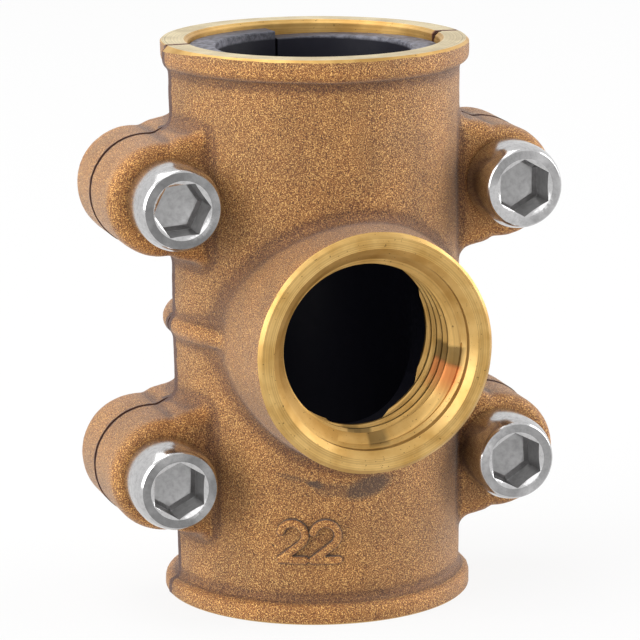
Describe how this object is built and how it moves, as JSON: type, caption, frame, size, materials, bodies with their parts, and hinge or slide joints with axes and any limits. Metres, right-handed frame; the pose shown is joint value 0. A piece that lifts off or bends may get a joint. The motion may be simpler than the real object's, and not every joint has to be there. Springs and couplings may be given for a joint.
{
  "type": "tapping saddle",
  "caption": "Split cast clamp for a 22 mm pipe, lined with a slit rubber sleeve, with a short internally threaded side branch and socket head screws through its ears.",
  "frame": {"origin": "where the pipe's axis crosses the branch's axis, midway along the saddle", "axes": "+Z along the pipe, the branch points towards -Y, the shells part at the plane y = 0"},
  "size_m": [0.0518, 0.0391, 0.063],
  "materials": {
    "cast_bronze": "sand-cast bronze skin, fine grainy and dull, warm brown",
    "machined_bronze": "turned bronze with fine tool lines, semi-bright golden yellow",
    "seal_rubber": "smooth moulded black rubber, slightly dusty on its cut ends",
    "zinc_steel": "bright zinc-plated steel, smooth with small dents"
  },
  "bodies": {
    "root": {"front_shell": "cast_bronze", "rear_shell": "cast_bronze", "seal_sleeve": "seal_rubber", "screw_upper_left": "zinc_steel", "screw_upper_right": "zinc_steel", "screw_lower_left": "zinc_steel", "screw_lower_right": "zinc_steel"}
  },
  "joints": []
}
